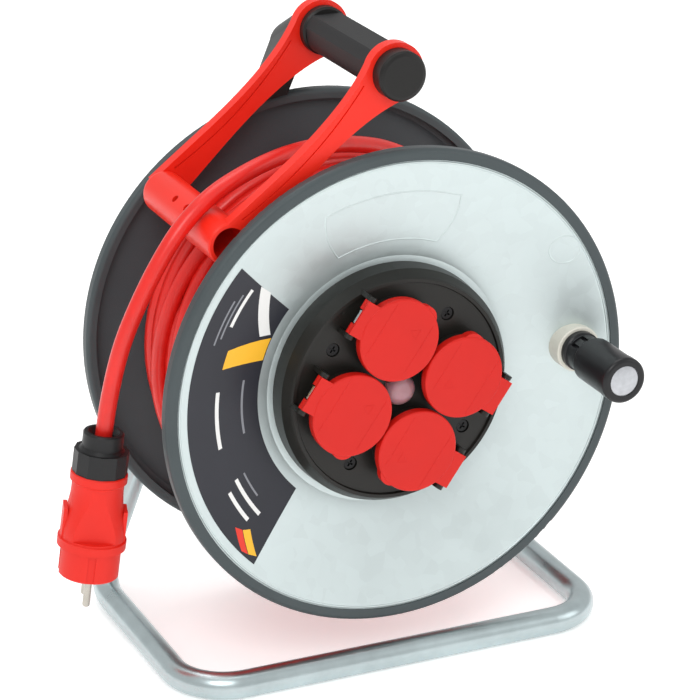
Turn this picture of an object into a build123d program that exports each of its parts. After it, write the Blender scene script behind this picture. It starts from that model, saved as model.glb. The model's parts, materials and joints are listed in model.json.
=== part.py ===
"""Steel-drum extension cord reel with a bent tube stand, four lidded sockets and a cable guide.

Frame of the model: +Z up, the drum's axle along Y, the sockets and the crank on the -Y side.
Origin: the middle of the reel's box on the ground. Everything along the axle is given as a
distance behind the front rim's face, and everything across it from the axle's centre line.
"""
from build123d import *
from math import atan2, cos, degrees, hypot, pi, radians, sin, tan
import os

os.makedirs("parts", exist_ok=True)

# ------------------------------------------------------------------ driving dimensions (mm)
DRUM_R = 160.0  # outside radius of the rims
DRUM_W = 155.0  # face of one rim to face of the other
AXLE_HEIGHT = 191.0  # axle above the ground
TUBE_R = 9.0  # stand tube, 18 mm outside
TUBE_WALL = 1.5
STAND_HALF = 147.6  # tube centre line to the middle, across
STAND_FRONT = -7.8  # front run's centre line behind the front rim's face
STAND_REAR = 175.0  # uprights' centre line behind the front rim's face
STAND_APEX = 197.6  # where the uprights' centre lines meet, above the axle
SHEET = 1.0  # steel of the two discs
CORE_R = 66.0  # winding core
CABLE_D = 11.0
GRIP_Z = 206.0  # grip axis above the axle
PANEL_TURN = 10.0  # sockets' turn about the axle, degrees
SOCKET_RING = 39.6  # socket centres from the axle
LID_R = 27.5
PLUG_RECESS_R = 19.6
PLUG_RECESS_DEPTH = 17.5
PIN_R = 2.4
PIN_SPACING = 19.0
CRANK_X, CRANK_Z = 128.0, 8.4
CRANK_REACH = 61.8  # crank's end in front of the front rim's face
BRACKET_REAR = 188.0  # rear face of the head bracket behind the front rim's face
RUN_FIT = 0.05  # radial running clearance

# the reel's box runs from the crank's end to the bracket's rear face, and Y = 0 halves it
RIM_Y = (CRANK_REACH - BRACKET_REAR) / 2

DRUM_AXIS = Axis((0, RIM_Y, AXLE_HEIGHT), (0, 1, 0))
CRANK_AXIS = Axis((CRANK_X, RIM_Y, AXLE_HEIGHT + CRANK_Z), (0, 1, 0))
GRIP_AXIS = Axis((0, RIM_Y, AXLE_HEIGHT + GRIP_Z), (0, 1, 0))


def profile(x=0.0, z=0.0):
    """Half section beside an axis parallel to the axle: local x runs rearwards, local y is the radius."""
    return Plane(origin=(x, RIM_Y, AXLE_HEIGHT + z), x_dir=(0, 1, 0), z_dir=(1, 0, 0))


def face(behind, x=0.0, z=0.0):
    """Plane seen from the front, at a distance behind the front rim's face. It extrudes forwards."""
    origin = (x, RIM_Y + behind, AXLE_HEIGHT + z)
    return Plane(origin=origin, x_dir=(1, 0, 0), z_dir=(0, -1, 0))


def place(x, behind, z):
    """A point from its place across, behind the front rim's face and above the axle."""
    return Vector(x, RIM_Y + behind, AXLE_HEIGHT + z)


def polar(radius, angle):
    return (radius * cos(radians(angle)), radius * sin(radians(angle)))


def save(part, name):
    part.label = name
    export_step(part, f"parts/{name}.step")


# ------------------------------------------------------------------ stand
STAND_PATH = [
    place(-STAND_HALF, STAND_FRONT, TUBE_R - AXLE_HEIGHT),
    place(STAND_HALF, STAND_FRONT, TUBE_R - AXLE_HEIGHT),
    place(STAND_HALF, STAND_REAR, TUBE_R - AXLE_HEIGHT),
    place(0, STAND_REAR, STAND_APEX),
    place(-STAND_HALF, STAND_REAR, TUBE_R - AXLE_HEIGHT),
]
FRONT_BEND, REAR_BEND, APEX_BEND = 36.0, 32.0, 36.0
with BuildLine() as stand_line:
    # the loop is closed in the middle of the front run
    FilletPolyline(
        place(0, STAND_FRONT, TUBE_R - AXLE_HEIGHT),
        *STAND_PATH[1:],
        STAND_PATH[0],
        place(-1, STAND_FRONT, TUBE_R - AXLE_HEIGHT),
        radius=[FRONT_BEND, REAR_BEND, APEX_BEND, REAR_BEND, FRONT_BEND],
    )
    Line(stand_line.line @ 1, stand_line.line @ 0)

stand_start = Plane(origin=place(0, STAND_FRONT, TUBE_R - AXLE_HEIGHT), z_dir=(1, 0, 0))
with BuildPart() as stand_solid:
    with BuildSketch(stand_start):
        Circle(TUBE_R)
    sweep(path=stand_line.line)
with BuildPart() as stand_tube:
    with BuildSketch(stand_start):
        Circle(TUBE_R)
        Circle(TUBE_R - TUBE_WALL, mode=Mode.SUBTRACT)
    sweep(path=stand_line.line)
save(stand_tube.part, "stand_tube")

# cross bar welded to the front of the uprights, carrying the axle
BAR_FACE = STAND_REAR - TUBE_R - 3.0
with BuildPart() as axle_crossbar:
    with BuildSketch(face(BAR_FACE)):
        SlotOverall(172, 50)
    extrude(amount=-3)
    with BuildSketch(face(BAR_FACE + 3)) as flanges:
        with Locations((0, 23.5), (0, -23.5)):
            Rectangle(104, 3)
    extrude(amount=-14)
    with BuildSketch(face(BAR_FACE)):
        with Locations((50, 0), (-50, 0)):
            SlotOverall(34, 16)
    extrude(amount=-3, mode=Mode.SUBTRACT)
save(axle_crossbar.part, "axle_crossbar")

# axle: journal for the hub, shoulder, and a flange welded to the cross bar
AXLE_R, SHOULDER_R, HUB_FRONT, HUB_REAR = 10.0, 14.0, 85.0, 138.0
AXLE_END = HUB_FRONT - 0.3
with BuildPart() as axle:
    with BuildSketch(profile()):
        with BuildLine():
            Polyline(
                (AXLE_END, 4.3), (AXLE_END, AXLE_R), (HUB_REAR + 0.4, AXLE_R), (HUB_REAR + 0.4, SHOULDER_R),
                (158, SHOULDER_R), (158, 22), (BAR_FACE, 22), (BAR_FACE, 0), (112, 0), (112, 4.3),
                close=True,
            )
        make_face()
    revolve(axis=DRUM_AXIS)
save(axle.part, "axle")

with BuildPart() as axle_bolt:
    with BuildSketch(profile()):
        Polygon((AXLE_END - 2, 0), (AXLE_END - 2, 16), (AXLE_END, 16), (AXLE_END, 4.3), (111, 4.3), (111, 0),
                align=None)
    revolve(axis=DRUM_AXIS)
    with BuildSketch(face(AXLE_END - 2)):
        RegularPolygon(7.5, 6)
    extrude(amount=5.5)
save(axle_bolt.part, "axle_bolt")

# ------------------------------------------------------------------ head bracket on the apex
HEAD_SPLIT = STAND_REAR
HEAD_FRONT, NECK_REAR, ROD_END = 139.0, 182.0, 156.0


def neck_section(left_low, left, start, over, end, right, right_low):
    """One end of the head's neck, which leans to the guide's side and is rounded over the grip's axis."""
    with BuildSketch() as section:
        with BuildLine():
            Polyline(left_low, left, start)
            ThreePointArc(start, over, end)
            Polyline(end, right, right_low, left_low)
        make_face()
    return section.sketch


def head_solid():
    """Leaning neck behind the grip, on a foot that clamps the stand's apex; the foot hides behind the drum."""
    with BuildPart() as head:
        with BuildSketch(face(HEAD_FRONT)):
            add(neck_section((-36, 140), (-34, 165), (-13.5, 209), (-2, 219.8), (13.2, 201), (-12, 176),
                             (-28, 140)))
        with BuildSketch(face(NECK_REAR)):
            add(neck_section((-31, 140), (-25, 157), (-13, 186), (2, 197.5), (14.5, 181), (4, 163), (-12, 140)))
        loft(ruled=True)
        with BuildSketch(face(DRUM_W + 1.5)):
            Polygon((-50, 98), (50, 98), (50, 128), (42, 136), (-6, 148), (-28, 148), (-42, 136), (-50, 128),
                    align=None)
        extrude(amount=-(BRACKET_REAR - DRUM_W - 1.5))
        # clears the rear rim, which turns just in front of it
        with BuildSketch(profile()):
            Polygon((HEAD_FRONT - 20, 80), (DRUM_W + 1.5, 80), (DRUM_W + 1.5, DRUM_R + 1.5),
                    (HEAD_FRONT - 20, DRUM_R + 1.5), align=None)
        revolve(axis=DRUM_AXIS, mode=Mode.SUBTRACT)
    return head.part


HEAD_SCREWS = [(0, 112), (-43, 124), (43, 124)]
with BuildPart() as head_front:
    add(head_solid())
    split(bisect_by=Plane(origin=place(0, HEAD_SPLIT, 0), z_dir=(0, -1, 0)))
    with BuildSketch(face(HEAD_FRONT - 2, z=GRIP_Z)):
        Circle(5)
    extrude(amount=-(ROD_END - HEAD_FRONT + 2), mode=Mode.SUBTRACT)
    with BuildSketch(face(HEAD_SPLIT)):
        with Locations(*HEAD_SCREWS):
            Circle(2)
    extrude(amount=12, mode=Mode.SUBTRACT)
    add(stand_solid.part, mode=Mode.SUBTRACT)
save(head_front.part, "head_front")

with BuildPart() as head_rear:
    add(head_solid())
    split(bisect_by=Plane(origin=place(0, HEAD_SPLIT, 0), z_dir=(0, 1, 0)))
    with BuildSketch(face(BRACKET_REAR)):
        with Locations(*HEAD_SCREWS):
            Circle(2)
    extrude(amount=BRACKET_REAR - HEAD_SPLIT, mode=Mode.SUBTRACT)
    with BuildSketch(face(BRACKET_REAR)):
        with Locations(*HEAD_SCREWS):
            Circle(4.2)
    extrude(amount=4, mode=Mode.SUBTRACT)
    add(stand_solid.part, mode=Mode.SUBTRACT)
save(head_rear.part, "head_rear")

with BuildPart() as head_screws:
    with BuildSketch(face(BRACKET_REAR - 4)):
        with Locations(*HEAD_SCREWS):
            Circle(2)
    extrude(amount=BRACKET_REAR - 4 - HEAD_SPLIT + 11)
    with BuildSketch(face(BRACKET_REAR - 1.2)):
        with Locations(*HEAD_SCREWS):
            Circle(4)
    extrude(amount=2.8)
    with BuildSketch(face(BRACKET_REAR - 1.2)):
        with Locations(*HEAD_SCREWS):
            Rectangle(4.6, 1)
            Rectangle(1, 4.6)
    extrude(amount=1.4, mode=Mode.SUBTRACT)
save(head_screws.part, "head_screws")

# ------------------------------------------------------------------ grip
ARM_FRONT, ARM_REAR, ARM_T = 14.0, 127.0, 8.0  # front faces of the guide's two arms, thickness
SLEEVE_R, ROD_R = 12.0, 5.0
with BuildPart() as grip_rod:
    with BuildSketch(profile(z=GRIP_Z)):
        with BuildLine():
            Polyline((7, 0), (7, 8), (10.5, 8), (10.5, ROD_R), (ROD_END, ROD_R), (ROD_END, 0), close=True)
        make_face()
    revolve(axis=GRIP_AXIS)
save(grip_rod.part, "grip_rod")

with BuildPart() as grip_front_cap:
    with BuildSketch(profile(z=GRIP_Z)):
        with BuildLine():
            Polyline((2.5, 0), (2.5, 13), (3.1, 14.9), (4.4, 16), (ARM_FRONT - 0.3, 16), (ARM_FRONT, 15.6),
                     (ARM_FRONT, SLEEVE_R), (ARM_FRONT + ARM_T + 1, SLEEVE_R), (ARM_FRONT + ARM_T + 1, ROD_R),
                     (10.5, ROD_R), (10.5, 8), (7, 8), (7, 0), close=True)
        make_face()
    revolve(axis=GRIP_AXIS)
save(grip_front_cap.part, "grip_front_cap")

with BuildPart() as grip_rear_collar:
    with BuildSketch(profile(z=GRIP_Z)):
        with BuildLine():
            Polyline((119, ROD_R), (119, 14.6), (120.2, 16), (125.4, 16), (ARM_REAR, 14.6), (ARM_REAR, SLEEVE_R),
                     (HEAD_FRONT, SLEEVE_R), (HEAD_FRONT, ROD_R), close=True)
        make_face()
    revolve(axis=GRIP_AXIS)
save(grip_rear_collar.part, "grip_rear_collar")

# hand grip: rounded body with a ridge on each side and finger hollows underneath
GRIP_START, GRIP_END = ARM_FRONT + ARM_T + 1, 119.0
with BuildPart() as grip:
    with BuildSketch(face(GRIP_START, z=GRIP_Z)):
        with BuildLine():
            Spline((0, 13.6), (-10.2, 11.2), (-14.4, 4.0), tangents=[(-1, 0), (-0.35, -0.94)])
            Spline((-14.4, 4.0), (-12.6, -7.0), (0, -14.6), tangents=[(0.12, -1), (1, 0)])
            Spline((0, -14.6), (12.6, -7.0), (14.4, 4.0), tangents=[(1, 0), (0.12, 1)])
            Spline((14.4, 4.0), (10.2, 11.2), (0, 13.6), tangents=[(-0.35, 0.94), (-1, 0)])
        make_face()
        Circle(ROD_R, mode=Mode.SUBTRACT)
    extrude(amount=-(GRIP_END - GRIP_START))
    hollow_r, hollow_pitch, hollow_count = 26.0, 22.0, 4
    middle = (GRIP_START + GRIP_END) / 2
    for finger in range(hollow_count):
        along = middle + (finger - (hollow_count - 1) / 2) * hollow_pitch
        with BuildSketch(Plane(origin=place(-20, along, GRIP_Z - 12.4 - hollow_r), x_dir=(0, 1, 0), z_dir=(1, 0, 0))):
            Circle(hollow_r)
        extrude(amount=40, mode=Mode.SUBTRACT)
    # flat along the top
    with BuildSketch(face(GRIP_START, z=GRIP_Z + 16.6)):
        Rectangle(40, 10)
    extrude(amount=-(GRIP_END - GRIP_START), mode=Mode.SUBTRACT)
save(grip.part, "grip")

# ------------------------------------------------------------------ cable guide
GUIDE_X, GUIDE_Z, GUIDE_R = -111.0, 109.0, 14.0
ARM_RUN = hypot(GUIDE_X, GUIDE_Z - GRIP_Z)
ARM_LEAN = degrees(atan2(GUIDE_Z - GRIP_Z, GUIDE_X))
GUIDE_MEET = 76.0  # where the guide's two halves meet
GUIDE_END = 131.0
GUIDE_AXIS = Axis((GUIDE_X, RIM_Y, AXLE_HEIGHT + GUIDE_Z), (0, 1, 0))
RING_R = 19.0


def arm_plane(behind):
    """Seen from the front, with local x from the grip's axis to the guide cylinder's."""
    along = polar(1, ARM_LEAN)
    return Plane(origin=place(0, behind, GRIP_Z), x_dir=(along[0], 0, along[1]), z_dir=(0, -1, 0))


PARK_DIRECTION = 132.0  # the plug's pins park in the cylinder's upper outer side
PARK_MIDDLE = 72.8
PARK_R = 2.6


def parking_plane():
    """Through the guide cylinder's axis, facing outwards; local x is behind the front rim's face."""
    out = polar(1, PARK_DIRECTION)
    return Plane(origin=place(GUIDE_X, 0, GUIDE_Z), x_dir=(0, 1, 0), z_dir=(out[0], 0, out[1]))


def arm_outline():
    """Ring round the grip that necks down to the arm and widens again at the cylinder."""
    neck_x, neck_y = 44.0, 8.6
    with BuildSketch() as outline:
        with BuildLine():
            Spline((9, 16.6), (26, 11.4), (neck_x, neck_y), (ARM_RUN - 12, 10.6), (ARM_RUN, 11.2))
            Line((ARM_RUN, 11.2), (ARM_RUN, -11.2))
            Spline((ARM_RUN, -11.2), (ARM_RUN - 12, -10.6), (neck_x, -neck_y), (26, -11.4), (9, -16.6))
            Line((9, -16.6), (9, 16.6))
        make_face()
    return outline.sketch


def arm(front):
    """Plate with a ring for the grip's sleeve and a lip along its upper edge."""
    with BuildPart() as plate:
        with BuildSketch(arm_plane(front)):
            add(arm_outline())
            Circle(RING_R)
            Circle(SLEEVE_R, mode=Mode.SUBTRACT)
        extrude(amount=-ARM_T)
        # groove inside the lip that runs along the arm's upper edge
        with BuildSketch(arm_plane(front)):
            with BuildLine():
                Spline((20, -10.2), (44, -5.4), (ARM_RUN - 16, -6.6))
                Line((ARM_RUN - 16, -6.6), (ARM_RUN - 16, -5.6))
                Spline((ARM_RUN - 16, -5.6), (44, -4.4), (20, -9.2))
                Line((20, -9.2), (20, -10.2))
            make_face()
        extrude(amount=-1.1, mode=Mode.SUBTRACT)
    return plate.part


with BuildPart() as guide_front_arm:
    add(arm(ARM_FRONT))
    with BuildSketch(face(ARM_FRONT, GUIDE_X, GUIDE_Z)):
        Circle(12)
    extrude(amount=-ARM_T, mode=Mode.SUBTRACT)
    with BuildSketch(profile(GUIDE_X, GUIDE_Z)):
        Polygon((ARM_FRONT, 11), (ARM_FRONT, 13.2), (ARM_FRONT + 0.8, GUIDE_R), (GUIDE_MEET, GUIDE_R),
                (GUIDE_MEET, 11), (GUIDE_MEET - 3, 11), (GUIDE_MEET - 3, 1.6), (GUIDE_MEET - 6, 1.6),
                (GUIDE_MEET - 6, 11), align=None)
    revolve(axis=GUIDE_AXIS)
    with BuildSketch(parking_plane()):
        with Locations((PARK_MIDDLE - PIN_SPACING / 2, 0), (PARK_MIDDLE + PIN_SPACING / 2, 0)):
            Circle(PARK_R)
    extrude(amount=GUIDE_R + 5, mode=Mode.SUBTRACT)
save(guide_front_arm.part, "guide_front_arm")

with BuildPart() as guide_rear_arm:
    add(arm(ARM_REAR))
    with BuildSketch(profile(GUIDE_X, GUIDE_Z)):
        with BuildLine():
            Polyline((GUIDE_MEET, 11.2), (GUIDE_MEET, GUIDE_R), (GUIDE_END - 5, GUIDE_R))
            RadiusArc((GUIDE_END - 5, GUIDE_R), (GUIDE_END, GUIDE_R - 5), 5)
            Polyline((GUIDE_END, GUIDE_R - 5), (GUIDE_END, 0), (GUIDE_END - 3, 0), (GUIDE_END - 3, 11.2),
                     (GUIDE_MEET, 11.2))
        make_face()
    revolve(axis=GUIDE_AXIS)
    # spigot that plugs into the front half and takes the joining screw
    with BuildSketch(profile(GUIDE_X, GUIDE_Z)):
        Polygon((GUIDE_MEET - 3, 1.6), (GUIDE_MEET - 3, 11), (GUIDE_MEET, 11), (GUIDE_MEET, 11.2),
                (GUIDE_MEET + 3.4, 11.2), (GUIDE_MEET + 3.4, 1.6), align=None)
    revolve(axis=GUIDE_AXIS)
    with BuildSketch(parking_plane()):
        with Locations((PARK_MIDDLE + PIN_SPACING / 2, 0)):
            Circle(PARK_R)
    extrude(amount=GUIDE_R + 5, mode=Mode.SUBTRACT)
save(guide_rear_arm.part, "guide_rear_arm")

with BuildPart() as guide_screw:
    with BuildSketch(profile(GUIDE_X, GUIDE_Z)):
        Polygon((GUIDE_MEET - 8.4, 0), (GUIDE_MEET - 8.4, 3.2), (GUIDE_MEET - 6, 3.2), (GUIDE_MEET - 6, 1.6),
                (GUIDE_MEET + 3, 1.6), (GUIDE_MEET + 3, 0), align=None)
    revolve(axis=GUIDE_AXIS)
save(guide_screw.part, "guide_screw")

# ------------------------------------------------------------------ drum: two dished discs in rolled rims
DISC_EDGE_R, DISC_FLAT_R = 156.0, 149.5
DISH_R, DISH_DEPTH = 84.0, 21.0
LIP = 1.3  # thickness of the rim's plastic
SLOPE = (DISH_DEPTH - LIP) / (DISC_FLAT_R - DISH_R)
SHEET_ALONG = SHEET * hypot(1, SLOPE)  # the sloping sheet's thickness, measured along the axle


def mirror_points(points):
    return [(DRUM_W - along, radius) for along, radius in points]


def disc_points(hole_r):
    """Section of the front disc: turned lip, flat border, cone down to the flat round the hub."""
    bend = (SHEET_ALONG - SHEET) / SLOPE
    return [
        (LIP, DISC_EDGE_R), (LIP, DISC_FLAT_R), (DISH_DEPTH, DISH_R), (DISH_DEPTH, hole_r),
        (DISH_DEPTH + SHEET, hole_r), (DISH_DEPTH + SHEET, DISH_R + bend), (LIP + SHEET, DISC_FLAT_R + bend),
        (LIP + SHEET, DISC_EDGE_R - SHEET), (9.2, DISC_EDGE_R - SHEET), (9.2, DISC_EDGE_R),
    ]


def cone_front(radius):
    """How far behind the rim's face the front disc's outer surface is at a radius."""
    return LIP + (DISC_FLAT_R - radius) * SLOPE


RIM_OUTER = [(0, 157.0), (0.9, 159.1), (3.0, DRUM_R), (7.5, DRUM_R), (9.6, 159.1), (10.5, 157.0)]
RIM_INNER = [(10.5, 153.5), (9.2, 153.5), (9.2, 156.8), (7.4, DRUM_R - LIP), (3.1, DRUM_R - LIP), (LIP, 156.8),
             (LIP, 152.5), (0, 152.5)]


def ring(points):
    """Turn a section round the drum's axis."""
    with BuildPart() as turned:
        with BuildSketch(profile()):
            Polygon(*points, align=None)
        revolve(axis=DRUM_AXIS)
    return turned.part


def rim(flip):
    """Plastic channel over the disc's edge, with rounded outer corners."""
    points = [(0, 157.0), (0.9, 159.1), (3.0, DRUM_R), (7.5, DRUM_R), (9.6, 159.1), (10.5, 157.0)] + RIM_INNER
    if flip:
        points = mirror_points(points)
    with BuildPart() as channel:
        with BuildSketch(profile()):
            with BuildLine():
                ThreePointArc(points[0], points[1], points[2])
                Line(points[2], points[3])
                ThreePointArc(points[3], points[4], points[5])
                Polyline(*points[5:], points[0])
            make_face()
        revolve(axis=DRUM_AXIS)
    return channel.part


save(rim(False), "front_rim")
save(rim(True), "rear_rim")

with BuildPart() as front_disc:
    add(ring(disc_points(71)))
    with BuildSketch(face(0, CRANK_X, CRANK_Z)):
        Circle(5)
    extrude(amount=-30, mode=Mode.SUBTRACT)
save(front_disc.part, "front_disc")

with BuildPart() as rear_disc:
    add(ring(mirror_points(disc_points(17.5))))
    with BuildSketch(face(DRUM_W)):
        with PolarLocations(57.1, 4, 54):
            Circle(2)
    extrude(amount=30, mode=Mode.SUBTRACT)
save(rear_disc.part, "rear_disc")

# ------------------------------------------------------------------ winding core
SCREW_RING, SCREW_START = 57.1, 54.0
CORE_WALL = 2.5
GLAND_ANGLE, GLAND_BEHIND = 250.0, 32.0


def gland_plane(radius):
    """Across the core's cable hole, facing outwards."""
    out = polar(1, GLAND_ANGLE)
    middle = place(out[0] * radius, GLAND_BEHIND, out[1] * radius)
    return Plane(origin=middle, x_dir=(0, 1, 0), z_dir=(out[0], 0, out[1]))


REAR = DRUM_W - DISH_DEPTH  # rear disc's outer surface round the hub
with BuildPart() as drum_core:
    with BuildSketch(profile()):
        with BuildLine():
            Polyline(
                (DISH_DEPTH + SHEET, CORE_R - CORE_WALL), (DISH_DEPTH + SHEET, 82), (DISH_DEPTH + 3, 82),
                (DISH_DEPTH + 3, CORE_R), (REAR - 3, CORE_R), (REAR - 3, 82), (REAR - SHEET, 82),
                (REAR - SHEET, CORE_R - CORE_WALL), close=True,
            )
        make_face()
    revolve(axis=DRUM_AXIS)
    for boss_front, boss_rear in ((DISH_DEPTH, DISH_DEPTH + 24), (REAR - 24, REAR - SHEET)):
        with BuildSketch(face(boss_front)):
            with PolarLocations(SCREW_RING, 4, SCREW_START):
                Circle(5)
        extrude(amount=-(boss_rear - boss_front))
        with BuildSketch(face(max(boss_front, DISH_DEPTH + SHEET))):
            with PolarLocations(61, 4, SCREW_START):
                Rectangle(8, 3)
        extrude(amount=-(boss_rear - max(boss_front, DISH_DEPTH + SHEET)))
        with BuildSketch(face(boss_front)):
            with PolarLocations(SCREW_RING, 4, SCREW_START):
                Circle(1.8)
        extrude(amount=-(boss_rear - boss_front), mode=Mode.SUBTRACT)
    with BuildSketch(gland_plane(50)):
        Circle(7)
    extrude(amount=30, mode=Mode.SUBTRACT)
save(drum_core.part, "drum_core")

with BuildPart() as core_gland:
    with BuildSketch(gland_plane(58)):
        Circle(9)
    extrude(amount=4.2)
    with BuildSketch(gland_plane(58)):
        Circle(7)
    extrude(amount=7.6)
    with BuildSketch(gland_plane(58)):
        Circle(CABLE_D / 2 + 0.1)
    extrude(amount=10, mode=Mode.SUBTRACT)
save(core_gland.part, "core_gland")

# ------------------------------------------------------------------ rear hub on the axle
with BuildPart() as rear_hub:
    with BuildSketch(profile()):
        with BuildLine():
            Polyline(
                (HUB_FRONT, 12.5), (HUB_FRONT, 17), (REAR, 17), (REAR, 64), (REAR + 2.6, 64), (HUB_REAR, 60),
                (HUB_REAR, 12.5), close=True,
            )
        make_face()
    revolve(axis=DRUM_AXIS)
    with BuildSketch(face(HUB_REAR)):
        with PolarLocations(39, 8, 9):
            SlotOverall(26, 10)
    extrude(amount=2.2, mode=Mode.SUBTRACT)
    with BuildSketch(face(HUB_REAR)):
        with PolarLocations(SCREW_RING, 4, SCREW_START):
            Circle(2)
    extrude(amount=HUB_REAR - REAR, mode=Mode.SUBTRACT)
save(rear_hub.part, "rear_hub")

with BuildPart() as hub_bush:
    with BuildSketch(face(HUB_FRONT)):
        Circle(12.5)
        Circle(AXLE_R + RUN_FIT, mode=Mode.SUBTRACT)
    extrude(amount=-(HUB_REAR - HUB_FRONT))
save(hub_bush.part, "hub_bush")

with BuildPart() as hub_screws:
    with BuildSketch(face(HUB_REAR)):
        with PolarLocations(SCREW_RING, 4, SCREW_START):
            Circle(1.8)
    extrude(amount=22)
    with BuildSketch(face(HUB_REAR)):
        with PolarLocations(SCREW_RING, 4, SCREW_START):
            Circle(3.8)
    extrude(amount=-2.4)
    with BuildSketch(face(HUB_REAR + 2.4)):
        with PolarLocations(SCREW_RING, 4, SCREW_START):
            Rectangle(4.6, 1)
            Rectangle(1, 4.6)
    extrude(amount=1.4, mode=Mode.SUBTRACT)
save(hub_screws.part, "hub_screws")

# ------------------------------------------------------------------ socket panel
PANEL_FACE, PANEL_T = 3.5, 3.0
COLLAR_FRONT = -8.6
COLLAR_R, INSERT_R = 25.0, 21.0
SOCKETS = [PANEL_TURN + 90 * number for number in range(4)]
HINGES = [325.0, 145.0, 145.0, 325.0]  # direction from each lid's middle to its hinge
LOBES = [110.0, -110.0, 110.0, -110.0]  # thumb lobe's direction, from the hinge's
PIN_OUT, PIN_BEHIND = 31.0, -6.2  # hinge pin from the lid's middle, and behind the rim's face
TAB_HALF = 12.0
LUG_FROM, LUG_TO = 12.3, 15.2
BUTTON_R = 10.5


def socket_centre(number):
    return polar(SOCKET_RING, SOCKETS[number])


def lid_plane(number, behind):
    """Seen from the front at a socket, with local x towards its lid's hinge."""
    x, z = socket_centre(number)
    out = polar(1, HINGES[number])
    return Plane(origin=place(x, behind, z), x_dir=(out[0], 0, out[1]), z_dir=(0, -1, 0))


def pin_plane(number, across):
    """Across a lid's hinge pin; local x points away from the socket, local y to the rear."""
    x, z = socket_centre(number)
    out = polar(1, HINGES[number])
    side = (-out[1], 0, out[0])
    middle = place(x + out[0] * PIN_OUT + side[0] * across, PIN_BEHIND, z + out[1] * PIN_OUT + side[2] * across)
    return Plane(origin=middle, x_dir=(out[0], 0, out[1]), z_dir=side)


with BuildPart() as socket_panel:
    with BuildSketch(profile()):
        with BuildLine():
            Polyline(
                (DISH_DEPTH, 80), (9.5, 79), (3.2, 75.4), (1.8, 74.4), (1.8, 72.2), (PANEL_FACE, 71.5),
                (PANEL_FACE, 0), (PANEL_FACE + PANEL_T, 0), (PANEL_FACE + PANEL_T, 71.6), (10.3, 75.6),
                (DISH_DEPTH - 2.5, 76.4), (DISH_DEPTH - 2.5, 72.5), (DISH_DEPTH, 72.5), close=True,
            )
        make_face()
    revolve(axis=DRUM_AXIS)
    with BuildSketch(face(PANEL_FACE)):
        with PolarLocations(SCREW_RING, 4, SCREW_START):
            Circle(6)
    extrude(amount=-(DISH_DEPTH - PANEL_FACE))
    with BuildSketch(face(COLLAR_FRONT)):
        with PolarLocations(SOCKET_RING, 4, PANEL_TURN):
            Circle(COLLAR_R)
    extrude(amount=-(PANEL_FACE + PANEL_T - COLLAR_FRONT))
    with BuildSketch(face(PANEL_FACE + PANEL_T)):
        Circle(15.6)
    extrude(amount=-13)
    for socket in range(4):
        for lug_start in (LUG_FROM, -LUG_TO):
            with BuildSketch(pin_plane(socket, lug_start)):
                Circle(3.4)
                with Locations((0, 6)):
                    Rectangle(6.8, 12)
            extrude(amount=LUG_TO - LUG_FROM)
    for socket in range(4):
        with BuildSketch(pin_plane(socket, -20)):
            Circle(1.25)
        extrude(amount=40, mode=Mode.SUBTRACT)
    with BuildSketch(face(COLLAR_FRONT)):
        with PolarLocations(SOCKET_RING, 4, PANEL_TURN):
            Circle(INSERT_R)
    extrude(amount=-40, mode=Mode.SUBTRACT)
    with BuildSketch(face(PANEL_FACE)):
        with PolarLocations(SCREW_RING, 4, SCREW_START):
            Circle(2)
        Circle(BUTTON_R + 0.35)
    extrude(amount=-40, mode=Mode.SUBTRACT)
    with BuildSketch(face(PANEL_FACE + PANEL_T)):
        Circle(14.15)
    extrude(amount=-40, mode=Mode.SUBTRACT)
    with BuildSketch(face(PANEL_FACE)):
        with PolarLocations(SCREW_RING, 4, SCREW_START):
            Circle(4.6)
    extrude(amount=-3.5, mode=Mode.SUBTRACT)
save(socket_panel.part, "socket_panel")

with BuildPart() as panel_screws:
    with BuildSketch(face(PANEL_FACE + 3.5)):
        with PolarLocations(SCREW_RING, 4, SCREW_START):
            Circle(1.8)
    extrude(amount=-33)
    with BuildSketch(face(PANEL_FACE + 1)):
        with PolarLocations(SCREW_RING, 4, SCREW_START):
            Circle(4)
    extrude(amount=-2.5)
    with BuildSketch(face(PANEL_FACE + 1)):
        with PolarLocations(SCREW_RING, 4, SCREW_START):
            Rectangle(4.8, 1.1)
            Rectangle(1.1, 4.8)
    extrude(amount=-1.5, mode=Mode.SUBTRACT)
save(panel_screws.part, "panel_screws")

# sockets: recess with a pin line across the hinge's direction, and earth springs let into its wall
FLOOR = COLLAR_FRONT + PLUG_RECESS_DEPTH
INSERT_REAR = FLOOR + 21
for socket in range(4):
    with BuildPart() as insert:
        with BuildSketch(lid_plane(socket, COLLAR_FRONT)):
            Circle(INSERT_R)
        extrude(amount=-(INSERT_REAR - COLLAR_FRONT))
        with BuildSketch(lid_plane(socket, PANEL_FACE + PANEL_T)):
            Circle(23.5)
        extrude(amount=-2.5)
        with BuildSketch(lid_plane(socket, COLLAR_FRONT)):
            Circle(PLUG_RECESS_R)
        extrude(amount=-PLUG_RECESS_DEPTH, mode=Mode.SUBTRACT)
        with BuildSketch(lid_plane(socket, FLOOR)):
            with Locations((0, PIN_SPACING / 2), (0, -PIN_SPACING / 2)):
                Circle(2.7)
        extrude(amount=-2, mode=Mode.SUBTRACT)
        with BuildSketch(lid_plane(socket, FLOOR + 2)):
            with Locations((0, PIN_SPACING / 2), (0, -PIN_SPACING / 2)):
                Circle(3.6)
        extrude(amount=-30, mode=Mode.SUBTRACT)
        with BuildSketch(lid_plane(socket, COLLAR_FRONT + 3)):
            with Locations((PLUG_RECESS_R, 0), (-PLUG_RECESS_R, 0)):
                Rectangle(1.7, 5)
        extrude(amount=-(PLUG_RECESS_DEPTH - 1), mode=Mode.SUBTRACT)
    save(insert.part, f"socket_insert_{socket + 1}")

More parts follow.
